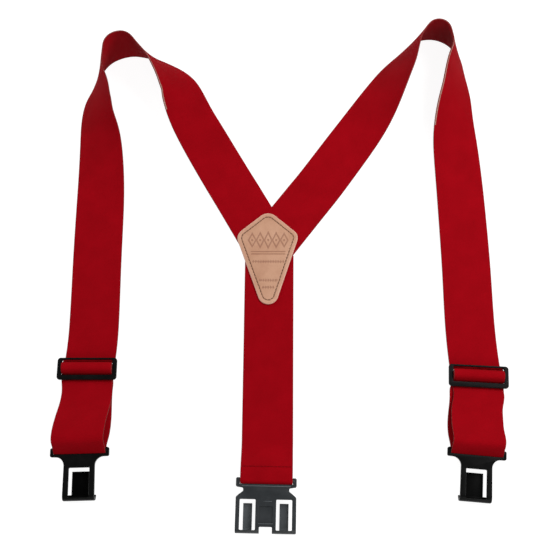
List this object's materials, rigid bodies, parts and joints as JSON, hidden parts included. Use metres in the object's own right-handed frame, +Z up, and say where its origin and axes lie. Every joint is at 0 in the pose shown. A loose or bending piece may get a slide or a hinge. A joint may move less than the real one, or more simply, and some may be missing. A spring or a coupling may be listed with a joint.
{
  "type": "suspenders",
  "caption": "Wide elastic work suspenders in a Y-back layout, with tri-glide adjusters, a stitched leather back patch and moulded belt clips.",
  "frame": {"origin": "on the table below the middle of the leather back patch, at the underside of its backing", "axes": "+Z up from the table; +Y from the back patch towards the shoulder bends, -Y towards the clips; +X towards the strap on the right of the picture"},
  "size_m": [0.4545, 0.5413, 0.0509],
  "materials": {
    "webbing": "matte red woven elastic",
    "leather": "natural veg-tan with a smooth satin top",
    "thread": "waxed brown thread",
    "red_thread": "red thread",
    "clip_plastic": "dark slate grey moulded nylon with a soft sheen"
  },
  "bodies": {
    "yoke": {"patch_leather": "leather", "patch_backing": "leather", "patch_stitches": "thread", "left_shoulder_strap": "webbing", "right_shoulder_strap": "webbing", "left_leg_strap": "webbing", "right_leg_strap": "webbing", "back_strap": "webbing"},
    "back_end": {"back_strap_fold": "webbing", "back_fold_stitches": "red_thread"},
    "back_hook": {"back_clip": "clip_plastic"},
    "left_slide": {"left_adjuster": "clip_plastic", "left_threaded_webbing": "webbing", "left_end_loop": "webbing", "left_loop_front": "webbing", "left_loop_back": "webbing"},
    "left_loop_end": {"left_clip_fold": "webbing"},
    "left_clip": {"left_front_clip": "clip_plastic"},
    "right_slide": {"right_adjuster": "clip_plastic", "right_threaded_webbing": "webbing", "right_end_loop": "webbing", "right_loop_front": "webbing", "right_loop_back": "webbing"},
    "right_loop_end": {"right_clip_fold": "webbing"},
    "right_clip": {"right_front_clip": "clip_plastic"}
  },
  "joints": [
    {"name": "left_adjust", "type": "slide", "parent": "yoke", "child": "left_slide", "axis": [0, 1, 0], "range_m": [-0.03, 0.12], "deforming": ["left_leg_strap"]},
    {"name": "left_follow", "type": "slide", "parent": "left_slide", "child": "left_loop_end", "axis": [0, 1, 0], "range_m": [-0.06, 0.015], "deforming": ["left_loop_front", "left_loop_back"]},
    {"name": "left_clip_swing", "type": "hinge", "parent": "left_loop_end", "child": "left_clip", "pos_m": [-0.1826, -0.209, 0.01], "axis": [0.9997, 0.0262, 0], "range_deg": [-35, 90]},
    {"name": "right_adjust", "type": "slide", "parent": "yoke", "child": "right_slide", "axis": [0, 1, 0], "range_m": [-0.03, 0.12], "deforming": ["right_leg_strap"]},
    {"name": "right_follow", "type": "slide", "parent": "right_slide", "child": "right_loop_end", "axis": [0, 1, 0], "range_m": [-0.06, 0.015], "deforming": ["right_loop_front", "right_loop_back"]},
    {"name": "right_clip_swing", "type": "hinge", "parent": "right_loop_end", "child": "right_clip", "pos_m": [0.2049, -0.2104, 0.01], "axis": [0.9962, -0.0872, 0], "range_deg": [-35, 90]},
    {"name": "back_stretch", "type": "slide", "parent": "yoke", "child": "back_end", "axis": [0, -1, 0], "range_m": [0, 0.05], "stiffness_N_per_m": 300, "deforming": ["back_strap"]},
    {"name": "back_clip_swing", "type": "hinge", "parent": "back_end", "child": "back_hook", "pos_m": [-0.0004, -0.2378, 0.01], "axis": [0.9998, -0.0209, 0], "range_deg": [-90, 90]}
  ],
  "couplings": [
    {"joint": "left_follow", "follows": "left_adjust", "ratio": -0.5},
    {"joint": "right_follow", "follows": "right_adjust", "ratio": -0.5}
  ]
}
